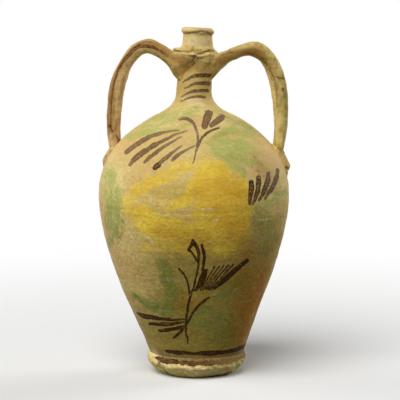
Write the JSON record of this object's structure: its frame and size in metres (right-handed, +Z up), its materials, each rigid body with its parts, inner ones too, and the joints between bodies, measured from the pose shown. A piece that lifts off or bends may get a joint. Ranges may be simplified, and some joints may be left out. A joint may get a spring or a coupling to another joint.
{
  "type": "two-handled water jug",
  "caption": "Ovoid earthenware water jug with a narrow spouted neck, tall loop handles luted to neck and shoulder, and a rough coil foot.",
  "frame": {"origin": "on the ground under the middle of the belly", "axes": "+Z up along the axis of the belly, +X towards the right handle, the painted front faces -Y"},
  "size_m": [0.231, 0.231, 0.4208],
  "materials": {
    "painted_glaze": "worn satin lead glaze over painted slip",
    "handle_glaze": "thin olive-yellow glaze",
    "bare_clay": "rough, barely glazed earthenware"
  },
  "bodies": {
    "root": {"foot_ring": "bare_clay", "lower_body": "painted_glaze", "upper_body": "painted_glaze", "neck": "painted_glaze", "collar": "handle_glaze", "left_handle": "handle_glaze", "left_root_wad": "handle_glaze", "right_handle": "handle_glaze", "right_root_wad": "handle_glaze"}
  },
  "joints": []
}
